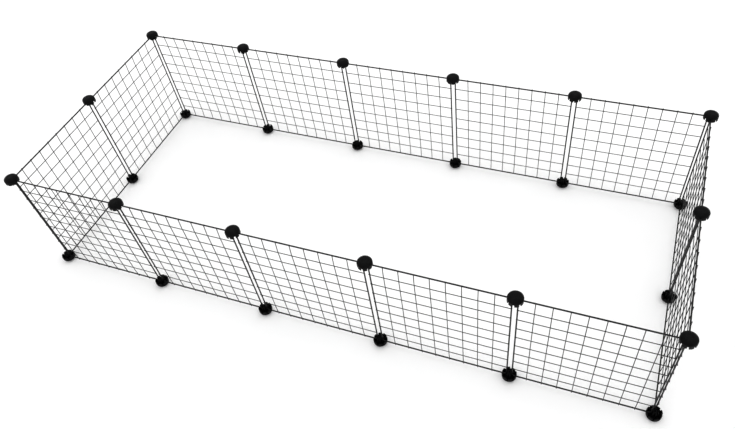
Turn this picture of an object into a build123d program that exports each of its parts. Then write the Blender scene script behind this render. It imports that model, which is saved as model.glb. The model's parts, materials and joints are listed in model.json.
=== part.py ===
"""Modular wire-grid pet playpen, five panels long and two panels wide.

Fourteen square welded wire panels stand in a rectangle. Where two panels meet, a round
push-on connector holds their lower corners and stands on the floor, and the same moulding,
turned over, holds their upper corners. Nothing else fastens the pen together.

Frame: millimetres, +X along the long side, +Y from front to back, +Z up, origin on the
floor at the centre of the pen.
"""

import os
from math import atan2, cos, degrees, radians, sin

from build123d import *

# --- the pen -------------------------------------------------------------------------
PANELS_LONG = 5
PANELS_WIDE = 2
POST_GAP = 14.0  # between the rim wires of two neighbours, centre to centre

# --- the welded wire panel -----------------------------------------------------------
PANEL_SIZE = 350.0  # outside edge to outside edge of the rim
RIM_WIRE = 3.8  # diameter of the rim wire
MESH_WIRE = 2.0  # diameter of the mesh wires
CELLS = 9  # squares along each edge
CORNER_BEND = 6.0  # radius of the rim's corners, on the wire's centre line
WELD_SINK = 0.25  # how far two wires sink into each other where they are welded
JOGGLE = 28.0  # length over which an upright wire comes down from the mesh to the rim
KNEE_RADIUS = 100.0  # of the upright wire's gentle bends
END_TRIM = 0.4  # the mesh wires stop this far short of the rim's outer edge
BEAD_R = 2.3  # upset bead where the rim's two ends are butt welded
BEAD_EDGE_R = 1.85
BEAD_WIDTH = 3.0

# --- the push-on connector -----------------------------------------------------------
CAP_R = 19.25
CAP_HEIGHT = 19.0  # crown to the skirt's open edge
CROWN_R = 6.0  # flat disc that the lower connectors stand on
SHOULDER_R = 6.5  # arc between the dome and the skirt
SKIRT = 10.0  # straight part of the outside, next to the open edge
WALL = 2.0
EDGE = 0.5  # chamfer round the open edge
WIRE_SEAT = 12.8  # crown to the centre of the rim wire
SLOTS = 8
SLOT_WIDTH = RIM_WIRE + 0.16
LEAD_IN = 0.9  # how much wider each notch is at the open edge, on each side
LEAD_IN_DEPTH = 1.8
NOTCH_START_R = 13.0  # the notches are cut outwards from here, clear of the fingers
HUB_R = 10.0
HUB_TIP_R = 8.4
HUB_TAPER = 4.0  # length of the tapered finger tips
HUB_HEIGHT = 28.0  # crown to the finger tips
HUB_ROOT = 8.0  # crown to the foot of the fingers
FINGER_INNER_R = 6.2
POST_R = 4.6
POST_DROP = 1.5  # the post ends this far short of the finger tips
POST_CORE_R = 2.6
RIB = 1.6  # thickness of the ribs under each wire
RIB_PLAY = 0.15  # gap between a rib and the wire over it

# --- worked out from the above ---------------------------------------------------------
RIM_SPAN = PANEL_SIZE - RIM_WIRE  # rim centre to rim centre
PITCH = RIM_SPAN + POST_GAP  # connector to connector
CELL = RIM_SPAN / CELLS
HALF_LONG = PANELS_LONG * PITCH / 2
HALF_WIDE = PANELS_WIDE * PITCH / 2
PEN_HEIGHT = RIM_SPAN + 2 * WIRE_SEAT
MID_HEIGHT = PEN_HEIGHT / 2
LEVEL_LAYER = (RIM_WIRE + MESH_WIRE) / 2 - WELD_SINK  # level wires, welded to the rim
UPRIGHT_LAYER = LEVEL_LAYER + MESH_WIRE - WELD_SINK  # upright wires, welded over them
MESH_REACH = PANEL_SIZE / 2 - END_TRIM
DOME_HEIGHT = CAP_HEIGHT - SKIRT
DOME_RUN = CAP_R - CROWN_R - SHOULDER_R  # from the flat to the shoulder arc's centre
DOME_R = (DOME_RUN**2 + DOME_HEIGHT**2 - SHOULDER_R**2) / (2 * (DOME_HEIGHT - SHOULDER_R))
DOME_SWEEP = degrees(atan2(DOME_RUN, DOME_R - DOME_HEIGHT))
SLOT_ANGLES = [i * 360 / SLOTS for i in range(SLOTS)]


def radial_plane(angle, distance):
    """Plane facing outwards at this angle and distance from the Z axis, its Y axis up."""
    outwards = (cos(radians(angle)), sin(radians(angle)), 0)
    sideways = (-sin(radians(angle)), cos(radians(angle)), 0)
    return Plane(origin=(0, 0, 0), x_dir=sideways, z_dir=outwards).offset(distance)


def make_panel():
    """One welded panel in the XZ plane, centred on its rim, with its mesh on the -Y face."""
    half = RIM_SPAN / 2
    wire_places = [(i - CELLS / 2) * CELL for i in range(1, CELLS)]
    with BuildPart() as panel:
        # rim: one wire bent round four corners
        with BuildLine(Plane.XZ):
            corners = [(-half, -half), (half, -half), (half, half), (-half, half)]
            rim_line = FilletPolyline(*corners, radius=CORNER_BEND, close=True)
        with BuildSketch(Plane(origin=rim_line @ 0, z_dir=rim_line % 0)):
            Circle(RIM_WIRE / 2)
        sweep(path=rim_line)
        # bead of the rim's butt weld, in the middle of the lower run
        with BuildSketch(Plane.XZ) as bead:
            with BuildLine():
                left = (-BEAD_WIDTH / 2, -half)
                left_edge = (-BEAD_WIDTH / 2, -half + BEAD_EDGE_R)
                right = (BEAD_WIDTH / 2, -half)
                right_edge = (BEAD_WIDTH / 2, -half + BEAD_EDGE_R)
                Polyline(left_edge, left, right, right_edge)
                ThreePointArc(right_edge, (0, -half + BEAD_R), left_edge)
            make_face()
        revolve(axis=Axis((0, 0, -half), (1, 0, 0)))
        # level mesh wires, laid on the rim
        for height in wire_places:
            wire_end = Plane(origin=(-MESH_REACH, -LEVEL_LAYER, height), z_dir=(1, 0, 0))
            with BuildSketch(wire_end):
                Circle(MESH_WIRE / 2)
            extrude(amount=2 * MESH_REACH)
        # upright mesh wires, laid on the level ones and pressed down to the rim at each end
        knee = half - JOGGLE
        end_layer = LEVEL_LAYER - (UPRIGHT_LAYER - LEVEL_LAYER) * (MESH_REACH - half) / JOGGLE
        for across in wire_places:
            with BuildLine(Plane.YZ.offset(across)):
                upright_line = FilletPolyline(
                    (-end_layer, -MESH_REACH),
                    (-UPRIGHT_LAYER, -knee),
                    (-UPRIGHT_LAYER, knee),
                    (-end_layer, MESH_REACH),
                    radius=KNEE_RADIUS,
                )
            with BuildSketch(Plane(origin=upright_line @ 0, z_dir=upright_line % 0)):
                Circle(MESH_WIRE / 2)
            sweep(path=upright_line)
    return panel.part


def make_cup(wall, height, edge):
    """Solid of revolution with the cap's domed outline, inset by this wall thickness."""
    reach = CAP_R - wall
    with BuildPart() as cup:
        with BuildSketch(Plane.XZ):
            with BuildLine():
                dome = JernArc((CROWN_R, wall), (1, 0), DOME_R - wall, DOME_SWEEP)
                shoulder = JernArc(dome @ 1, dome % 1, SHOULDER_R - wall, 90 - DOME_SWEEP)
                Polyline(
                    shoulder @ 1,
                    (reach, height - edge),
                    (reach - edge, height),
                    (0, height),
                    (0, wall),
                    (CROWN_R, wall),
                )
            make_face()
        revolve(axis=Axis.Z)
    return cup.part


def make_hollow():
    """The space inside the connector's cap, with the ribs left out of it."""
    space = make_cup(WALL, CAP_HEIGHT + WALL, WALL / 4)
    with BuildPart() as hollow:
        add(space)
        with BuildSketch(Plane.XY):
            with PolarLocations(CAP_R / 2, SLOTS):
                Rectangle(CAP_R, RIB)
        extrude(amount=WIRE_SEAT - RIM_WIRE / 2 - RIB_PLAY, mode=Mode.SUBTRACT)
    return hollow.part


def make_connector():
    """One connector standing on its crown, with its slots open upwards."""
    cup = make_cup(0, CAP_HEIGHT, EDGE)
    hollow = make_hollow()
    with BuildPart() as connector:
        # domed cap with a straight skirt
        add(cup)
        add(hollow, mode=Mode.SUBTRACT)
        # hub: a tapered stem, cut into a post and a ring of fingers
        with BuildSketch(Plane.XZ):
            with BuildLine():
                Polyline(
                    (0, WALL / 2),
                    (HUB_R, WALL / 2),
                    (HUB_R, HUB_HEIGHT - HUB_TAPER),
                    (HUB_TIP_R, HUB_HEIGHT),
                    (0, HUB_HEIGHT),
                    close=True,
                )
            make_face()
        revolve(axis=Axis.Z)
        with BuildSketch(Plane.XY.offset(HUB_ROOT)):
            Circle(FINGER_INNER_R)
            with PolarLocations((POST_R + HUB_R) / 2, SLOTS):
                Rectangle(HUB_R - POST_R + 2 * EDGE, SLOT_WIDTH)
            Circle(POST_R, mode=Mode.SUBTRACT)
        extrude(amount=HUB_HEIGHT, mode=Mode.SUBTRACT)
        with BuildSketch(Plane.XY.offset(HUB_HEIGHT - POST_DROP)):
            Circle(FINGER_INNER_R)
        extrude(amount=HUB_HEIGHT, mode=Mode.SUBTRACT)
        with BuildSketch(Plane.XY.offset(HUB_ROOT)):
            Circle(POST_CORE_R)
        extrude(amount=HUB_HEIGHT, mode=Mode.SUBTRACT)
        # notches that let the rim wires in through the skirt
        with BuildSketch(*[radial_plane(angle, NOTCH_START_R) for angle in SLOT_ANGLES]):
            with Locations((0, WIRE_SEAT)):
                Circle(SLOT_WIDTH / 2)
            with Locations((0, (WIRE_SEAT + CAP_HEIGHT) / 2)):
                Rectangle(SLOT_WIDTH, CAP_HEIGHT - WIRE_SEAT)
            with BuildLine():
                throat = CAP_HEIGHT - LEAD_IN_DEPTH
                mouth = SLOT_WIDTH / 2 + LEAD_IN
                Polyline(
                    (-SLOT_WIDTH / 2, throat),
                    (SLOT_WIDTH / 2, throat),
                    (mouth, CAP_HEIGHT),
                    (-mouth, CAP_HEIGHT),
                    close=True,
                )
            make_face()
        extrude(amount=CAP_R, mode=Mode.SUBTRACT)
    return connector.part


def panel_places():
    """Name and location of every panel, each with its mesh turned outwards."""
    places = {}
    for i in range(PANELS_LONG):
        x = (i + 0.5) * PITCH - HALF_LONG
        places[f"front_panel_{i + 1}"] = Location((x, -HALF_WIDE, MID_HEIGHT), (0, 0, 0))
        places[f"back_panel_{i + 1}"] = Location((x, HALF_WIDE, MID_HEIGHT), (0, 0, 180))
    for j in range(PANELS_WIDE):
        y = (j + 0.5) * PITCH - HALF_WIDE
        places[f"left_panel_{j + 1}"] = Location((-HALF_LONG, y, MID_HEIGHT), (0, 0, -90))
        places[f"right_panel_{j + 1}"] = Location((HALF_LONG, y, MID_HEIGHT), (0, 0, 90))
    return places


def post_places():
    """Name and plan position of every line where two panels meet."""
    places = {}
    for i in range(PANELS_LONG + 1):
        x = i * PITCH - HALF_LONG
        places[f"front_{i + 1}"] = (x, -HALF_WIDE)
        places[f"back_{i + 1}"] = (x, HALF_WIDE)
    for j in range(1, PANELS_WIDE):
        y = j * PITCH - HALF_WIDE
        places[f"left_{j}"] = (-HALF_LONG, y)
        places[f"right_{j}"] = (HALF_LONG, y)
    return places


def export_piece(shape, name, place):
    """Put one copy of the shape in its place and write it out under its name."""
    piece = shape.moved(place)
    piece.label = name
    export_step(piece, f"parts/{name}.step", write_pcurves=False)


os.makedirs("parts", exist_ok=True)

panel = make_panel()
for name, place in panel_places().items():
    export_piece(panel, name, place)

connector = make_connector()
for post, (x, y) in post_places().items():
    export_piece(connector, f"bottom_connector_{post}", Location((x, y, 0)))
    export_piece(connector, f"top_connector_{post}", Location((x, y, PEN_HEIGHT), (180, 0, 0)))
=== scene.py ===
import json
import random
from math import radians

import bmesh
import bpy
from mathutils import Matrix, Vector


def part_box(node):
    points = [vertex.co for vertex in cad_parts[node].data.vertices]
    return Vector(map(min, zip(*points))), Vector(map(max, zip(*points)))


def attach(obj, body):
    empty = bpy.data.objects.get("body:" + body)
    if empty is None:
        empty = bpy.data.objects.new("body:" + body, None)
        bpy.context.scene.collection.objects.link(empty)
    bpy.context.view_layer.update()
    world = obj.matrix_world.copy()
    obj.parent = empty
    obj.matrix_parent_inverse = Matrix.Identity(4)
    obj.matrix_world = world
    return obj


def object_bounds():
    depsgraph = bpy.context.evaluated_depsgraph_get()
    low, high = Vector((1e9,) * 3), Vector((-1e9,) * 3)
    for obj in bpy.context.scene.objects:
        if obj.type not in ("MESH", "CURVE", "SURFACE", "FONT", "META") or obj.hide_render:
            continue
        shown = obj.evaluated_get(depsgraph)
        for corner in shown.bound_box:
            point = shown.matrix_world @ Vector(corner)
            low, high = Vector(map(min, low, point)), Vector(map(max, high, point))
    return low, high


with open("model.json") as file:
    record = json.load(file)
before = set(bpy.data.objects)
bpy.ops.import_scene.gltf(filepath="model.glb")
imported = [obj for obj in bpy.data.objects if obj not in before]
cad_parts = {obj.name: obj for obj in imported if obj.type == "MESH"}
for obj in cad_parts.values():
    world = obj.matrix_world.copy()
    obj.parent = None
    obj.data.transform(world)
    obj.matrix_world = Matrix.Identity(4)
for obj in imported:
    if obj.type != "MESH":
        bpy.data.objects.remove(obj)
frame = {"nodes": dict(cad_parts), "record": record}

cad_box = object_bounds()

# Lengths are in metres, colours are scene-linear, and a noise scale is in grains a metre.

# --- the panels' wire, as in the CAD model ------------------------------------------------
RIM_WIRE = 0.0038
MESH_WIRE = 0.0020
WELD_SINK = 0.00025
BEAD_R = 0.0023  # the rim's butt weld stands out furthest on the panel's inner face
CELLS = 9

# --- welds: the powder coat bridges each crossing with a small web -------------------------
CROSSING_WEB = (0.00135, 0.00135, 0.0008)  # half sizes: along the panel, up it, through it
RIM_WEB = (0.0015, 0.0015, 0.0011)
WEB_SPREAD = 0.12  # how unlike each other the webs are
WEB_DRIFT = 0.00012
WEB_DIVISIONS = 2
WEB_SEED = 7

# --- the connectors' edges, rounded as the mould leaves them --------------------------------
EDGE_BREAK = 0.00018
EDGE_STEPS = 2
EDGE_ANGLE = radians(32)
MERGE_DISTANCE = 0.00001

# --- finish of the wire: black powder coat ---------------------------------------------------
COAT_DARK = (0.0022, 0.0022, 0.0024)
COAT_LIGHT = (0.0065, 0.0065, 0.0068)
COAT_RUBBED = (0.014, 0.014, 0.0145)
COAT_CLOUDS = 70
COAT_RUBS = 330
COAT_RUB_EDGES = (0.62, 0.7)  # noise below the first is whole coat, above the second a rub
COAT_GLOSS_PATCHES = 260
COAT_ROUGHNESS = (0.26, 0.48)
COAT_PEEL = 900
COAT_PEEL_STRENGTH = 0.4
COAT_PEEL_DEPTH = 0.0003
COAT_GRIT = 4200
COAT_GRIT_STRENGTH = 0.15
COAT_GRIT_DEPTH = 0.00006
COAT_SPECULAR = 0.3

# --- finish of the connectors: black moulded plastic -----------------------------------------
PLASTIC_DARK = (0.0016, 0.0016, 0.0018)
PLASTIC_LIGHT = (0.0046, 0.0046, 0.0049)
PLASTIC_RUBBED = (0.0062, 0.0062, 0.0066)
PLASTIC_SCUFFED = (0.0105, 0.0105, 0.011)
PLASTIC_CLOUDS = 110
CROWN_FACING = 0.93  # how level a face is before it counts as the crown
CROWN_RUBS = 420
CROWN_RUB_EDGES = (0.4, 0.6)
PLASTIC_SCUFFS = 700
PLASTIC_SCUFF_STRETCH = (1, 0.25, 1)
PLASTIC_SCUFF_EDGES = (0.6, 0.68)
PLASTIC_GLOSS_PATCHES = 160
PLASTIC_ROUGHNESS = (0.3, 0.55)
PLASTIC_FLOW = 45
PLASTIC_FLOW_STRETCH = (1, 1, 6)
PLASTIC_FLOW_STRENGTH = 0.2
PLASTIC_FLOW_DEPTH = 0.0008
PLASTIC_SPARK = 2600
PLASTIC_SPARK_STRENGTH = 0.5
PLASTIC_SPARK_DEPTH = 0.00015
PLASTIC_SPECULAR = 0.09

# --- the photograph's viewpoint ------------------------------------------------------------
CAMERA_AT = (0.6796, -1.1964, 1.5918)
CAMERA_TURN = (40.050, 5.252, 19.951)  # degrees about X, Y and Z
LENS_MM = 32.524
SENSOR_MM = 36.0
SHIFT = (-0.0369, 0.0269)
CLIP_START = 0.05
CLIP_END = 200.0

# --- the studio ----------------------------------------------------------------------------
FLOOR_SIZE = 120.0
FLOOR_DARK = (0.94, 0.94, 0.94)
FLOOR_LIGHT = (0.955, 0.955, 0.955)
FLOOR_CLOUDS = 3
FLOOR_ROUGHNESS = 0.9
SKY = 1.0
LAMP_AT = (0.0, 0.4, 8.0)
LAMP_SIZE = 12.0
LAMP_WATTS = 200
DISPLAY_GAMMA = 0.84


# --- node helpers --------------------------------------------------------------------------
def new_material(name):
    """A node material: itself, its node tree and its Principled shader."""
    material = bpy.data.materials.new(name)
    material.use_nodes = True
    tree = material.node_tree
    shader = next(n for n in tree.nodes if n.type == "BSDF_PRINCIPLED")
    return material, tree, shader


def noise(tree, scale, detail=2.0, stretch=None):
    """Noise of this many grains a metre, optionally scaled along the axes."""
    coords = tree.nodes.new("ShaderNodeTexCoord").outputs["Object"]
    if stretch:
        mapping = tree.nodes.new("ShaderNodeMapping")
        mapping.inputs["Scale"].default_value = stretch
        tree.links.new(coords, mapping.inputs["Vector"])
        coords = mapping.outputs["Vector"]
    texture = tree.nodes.new("ShaderNodeTexNoise")
    texture.inputs["Scale"].default_value = scale
    texture.inputs["Detail"].default_value = detail
    tree.links.new(coords, texture.inputs["Vector"])
    return texture.outputs["Fac"]


def ramp(tree, value, low, high, start=0.35, end=0.65):
    """Colour that goes from low to high as the value goes from start to end."""
    node = tree.nodes.new("ShaderNodeValToRGB")
    for stop, place, colour in zip(node.color_ramp.elements, (start, end), (low, high)):
        stop.position = place
        stop.color = (*colour, 1)
    tree.links.new(value, node.inputs["Fac"])
    return node.outputs["Color"]


def spread(tree, value, low, high, start=0.3, end=0.7):
    """Number that goes from low to high as the value goes from start to end."""
    node = tree.nodes.new("ShaderNodeMapRange")
    node.inputs["From Min"].default_value = start
    node.inputs["From Max"].default_value = end
    node.inputs["To Min"].default_value = low
    node.inputs["To Max"].default_value = high
    tree.links.new(value, node.inputs["Value"])
    return node.outputs["Result"]


def bump(tree, height, strength, distance, under=None):
    """Normal of a bumpy surface, laid over another one's normal if there is one."""
    node = tree.nodes.new("ShaderNodeBump")
    node.inputs["Strength"].default_value = strength
    node.inputs["Distance"].default_value = distance
    tree.links.new(height, node.inputs["Height"])
    if under:
        tree.links.new(under, node.inputs["Normal"])
    return node.outputs["Normal"]


def times(tree, first, second):
    """The product of two numbers."""
    node = tree.nodes.new("ShaderNodeMath")
    node.operation = "MULTIPLY"
    for value, socket in zip((first, second), node.inputs):
        tree.links.new(value, socket)
    return node.outputs["Value"]


def tint(tree, mask, under, colour):
    """The colour laid over another where the mask is 1."""
    node = tree.nodes.new("ShaderNodeMix")
    node.data_type = "RGBA"
    tree.links.new(mask, node.inputs["Factor"])
    tree.links.new(under, node.inputs["A"])
    node.inputs["B"].default_value = (*colour, 1)
    return node.outputs["Result"]


def level_faces(tree):
    """1 on faces that look straight up or down, such as the crown of a connector."""
    split = tree.nodes.new("ShaderNodeSeparateXYZ")
    tree.links.new(tree.nodes.new("ShaderNodeNewGeometry").outputs["Normal"], split.inputs[0])
    size = tree.nodes.new("ShaderNodeMath")
    size.operation = "ABSOLUTE"
    tree.links.new(split.outputs["Z"], size.inputs[0])
    return spread(tree, size.outputs["Value"], 0, 1, CROWN_FACING, 1)


# --- materials -----------------------------------------------------------------------------
def powder_coat():
    """Black powder coat on wire: orange peel, uneven gloss and a few dull rubs."""
    material, tree, shader = new_material("black_powder_coat")
    film = ramp(tree, noise(tree, COAT_CLOUDS, detail=4), COAT_DARK, COAT_LIGHT)
    rubs = spread(tree, noise(tree, COAT_RUBS, detail=6), 0, 1, *COAT_RUB_EDGES)
    tree.links.new(tint(tree, rubs, film, COAT_RUBBED), shader.inputs["Base Color"])
    gloss = spread(tree, noise(tree, COAT_GLOSS_PATCHES, detail=3), *COAT_ROUGHNESS)
    tree.links.new(gloss, shader.inputs["Roughness"])
    dimples = noise(tree, COAT_PEEL, detail=2)
    peel = bump(tree, dimples, COAT_PEEL_STRENGTH, COAT_PEEL_DEPTH)
    grain = noise(tree, COAT_GRIT, detail=1)
    grit = bump(tree, grain, COAT_GRIT_STRENGTH, COAT_GRIT_DEPTH, under=peel)
    tree.links.new(grit, shader.inputs["Normal"])
    shader.inputs["Specular IOR Level"].default_value = COAT_SPECULAR
    return material


def moulded_plastic():
    """Black moulded plastic: spark texture, flow marks, scuffs, and a crown that is rubbed."""
    material, tree, shader = new_material("black_moulded_plastic")
    pigment = ramp(tree, noise(tree, PLASTIC_CLOUDS, detail=5), PLASTIC_DARK, PLASTIC_LIGHT)
    patches = spread(tree, noise(tree, CROWN_RUBS, detail=5), 0, 1, *CROWN_RUB_EDGES)
    rubbed = tint(tree, times(tree, level_faces(tree), patches), pigment, PLASTIC_RUBBED)
    streaks = noise(tree, PLASTIC_SCUFFS, detail=6, stretch=PLASTIC_SCUFF_STRETCH)
    scuffs = spread(tree, streaks, 0, 1, *PLASTIC_SCUFF_EDGES)
    tree.links.new(tint(tree, scuffs, rubbed, PLASTIC_SCUFFED), shader.inputs["Base Color"])
    gloss = spread(tree, noise(tree, PLASTIC_GLOSS_PATCHES, detail=4), *PLASTIC_ROUGHNESS)
    tree.links.new(gloss, shader.inputs["Roughness"])
    waves = noise(tree, PLASTIC_FLOW, detail=2, stretch=PLASTIC_FLOW_STRETCH)
    flow = bump(tree, waves, PLASTIC_FLOW_STRENGTH, PLASTIC_FLOW_DEPTH)
    pits = noise(tree, PLASTIC_SPARK, detail=3)
    spark = bump(tree, pits, PLASTIC_SPARK_STRENGTH, PLASTIC_SPARK_DEPTH, under=flow)
    tree.links.new(spark, shader.inputs["Normal"])
    shader.inputs["Specular IOR Level"].default_value = PLASTIC_SPECULAR
    return material


def white_floor():
    """Matt white paint with very faint clouds."""
    material, tree, shader = new_material("studio_floor")
    paint = ramp(tree, noise(tree, FLOOR_CLOUDS), FLOOR_DARK, FLOOR_LIGHT)
    tree.links.new(paint, shader.inputs["Base Color"])
    shader.inputs["Roughness"].default_value = FLOOR_ROUGHNESS
    return material


# --- the CAD pieces: finish and, on the connectors, rounded edges ---------------------------
finishes = {"wire": powder_coat(), "connector": moulded_plastic()}


def finish_node(node, material):
    """Give a piece its material and smooth shading."""
    node.data.materials.clear()
    node.data.materials.append(material)
    for face in node.data.polygons:
        face.use_smooth = True


def break_edges(node):
    """Round a connector's sharp edges."""
    weld = node.modifiers.new("join_faces", "WELD")
    weld.merge_threshold = MERGE_DISTANCE
    bevel = node.modifiers.new("edge_break", "BEVEL")
    bevel.width = EDGE_BREAK
    bevel.segments = EDGE_STEPS
    bevel.limit_method = "ANGLE"
    bevel.angle_limit = EDGE_ANGLE
    bevel.harden_normals = True


def panel_frame(name):
    """Centre of a panel's rim, its directions along the row and outwards, and its rim span."""
    low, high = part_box(name)
    size = high - low
    thin = 0 if size.x < size.y else 1
    outwards = Vector((0, 0, 0))
    outwards[thin] = 1 if low[thin] + high[thin] > 0 else -1
    along = Vector((0, 0, 1)).cross(outwards)
    length = max(size.x, size.y)
    centre = (low + high) / 2
    inner_face = low[thin] if outwards[thin] > 0 else high[thin]
    centre[thin] = inner_face + outwards[thin] * BEAD_R
    centre.z = high.z - length / 2
    return centre, along, outwards, length - RIM_WIRE


def weld_webs(name, body, rng):
    """One mesh of the small webs at a panel's crossings and where its mesh meets the rim."""
    centre, along, outwards, span = panel_frame(name)
    turn = Matrix((along, (0, 0, 1), outwards)).transposed()
    cell = span / CELLS
    lines = [(i - CELLS / 2) * cell for i in range(1, CELLS)]
    level_layer = (RIM_WIRE + MESH_WIRE) / 2 - WELD_SINK
    crossing_depth = level_layer + (MESH_WIRE - WELD_SINK) / 2
    rim_depth = (RIM_WIRE - WELD_SINK) / 2
    spots = [(u, v, crossing_depth, CROSSING_WEB) for u in lines for v in lines]
    for line in lines:
        for edge in (-span / 2, span / 2):
            spots.append((line, edge, rim_depth, RIM_WEB))
            spots.append((edge, line, rim_depth, RIM_WEB))
    webs = bmesh.new()
    for u, v, depth, half_sizes in spots:
        sizes = [s * rng.uniform(1 - WEB_SPREAD, 1 + WEB_SPREAD) for s in half_sizes]
        drift = Vector([rng.uniform(-WEB_DRIFT, WEB_DRIFT) for _ in range(2)] + [0])
        place = centre + turn @ (Vector((u, v, depth)) + drift)
        matrix = Matrix.LocRotScale(place, turn.to_quaternion(), Vector(sizes))
        bmesh.ops.create_icosphere(webs, subdivisions=WEB_DIVISIONS, radius=1, matrix=matrix)
    mesh = bpy.data.meshes.new(f"{name}_welds")
    webs.to_mesh(mesh)
    webs.free()
    piece = bpy.data.objects.new(f"{name}_welds", mesh)
    bpy.context.scene.collection.objects.link(piece)
    finish_node(piece, finishes["wire"])
    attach(piece, body)


rng = random.Random(WEB_SEED)
bodies = frame["record"]["behaviour"]["bodies"]
body_of_node = {node: body for body, nodes in bodies.items() for node in nodes}
for part in frame["record"]["subparts"]:
    name = part["node"]
    finish_node(frame["nodes"][name], finishes[part["material_slot"]])
    if part["material_slot"] == "wire":
        weld_webs(name, body_of_node[name], rng)
    else:
        break_edges(frame["nodes"][name])


# --- floor, light and camera ---------------------------------------------------------------
def add_floor():
    """A plain pale floor at the height of the pen's feet."""
    bpy.ops.mesh.primitive_plane_add(size=FLOOR_SIZE, location=(0, 0, cad_box[0][2]))
    floor = bpy.context.object
    floor.name = "floor"
    floor.data.materials.append(white_floor())


def add_light():
    """An even white sky and one large lamp overhead."""
    world = bpy.data.worlds.new("studio")
    bpy.context.scene.world = world
    world.use_nodes = True
    world.node_tree.nodes["Background"].inputs["Color"].default_value = (1, 1, 1, 1)
    world.node_tree.nodes["Background"].inputs["Strength"].default_value = SKY
    lamp = bpy.data.lights.new("overhead", "AREA")
    lamp.shape = "SQUARE"
    lamp.size = LAMP_SIZE
    lamp.energy = LAMP_WATTS
    holder = bpy.data.objects.new("overhead", lamp)
    holder.location = LAMP_AT
    bpy.context.scene.collection.objects.link(holder)


def add_camera():
    """The camera at the photograph's viewpoint."""
    data = bpy.data.cameras.new("photo_view")
    data.lens = LENS_MM
    data.sensor_width = SENSOR_MM
    data.shift_x, data.shift_y = SHIFT
    data.clip_start = CLIP_START
    data.clip_end = CLIP_END
    camera = bpy.data.objects.new("photo_view", data)
    camera.location = CAMERA_AT
    camera.rotation_euler = [radians(a) for a in CAMERA_TURN]
    bpy.context.scene.collection.objects.link(camera)
    bpy.context.scene.camera = camera


add_floor()
add_light()
add_camera()
bpy.context.scene.view_settings.view_transform = "Standard"
bpy.context.scene.view_settings.gamma = DISPLAY_GAMMA
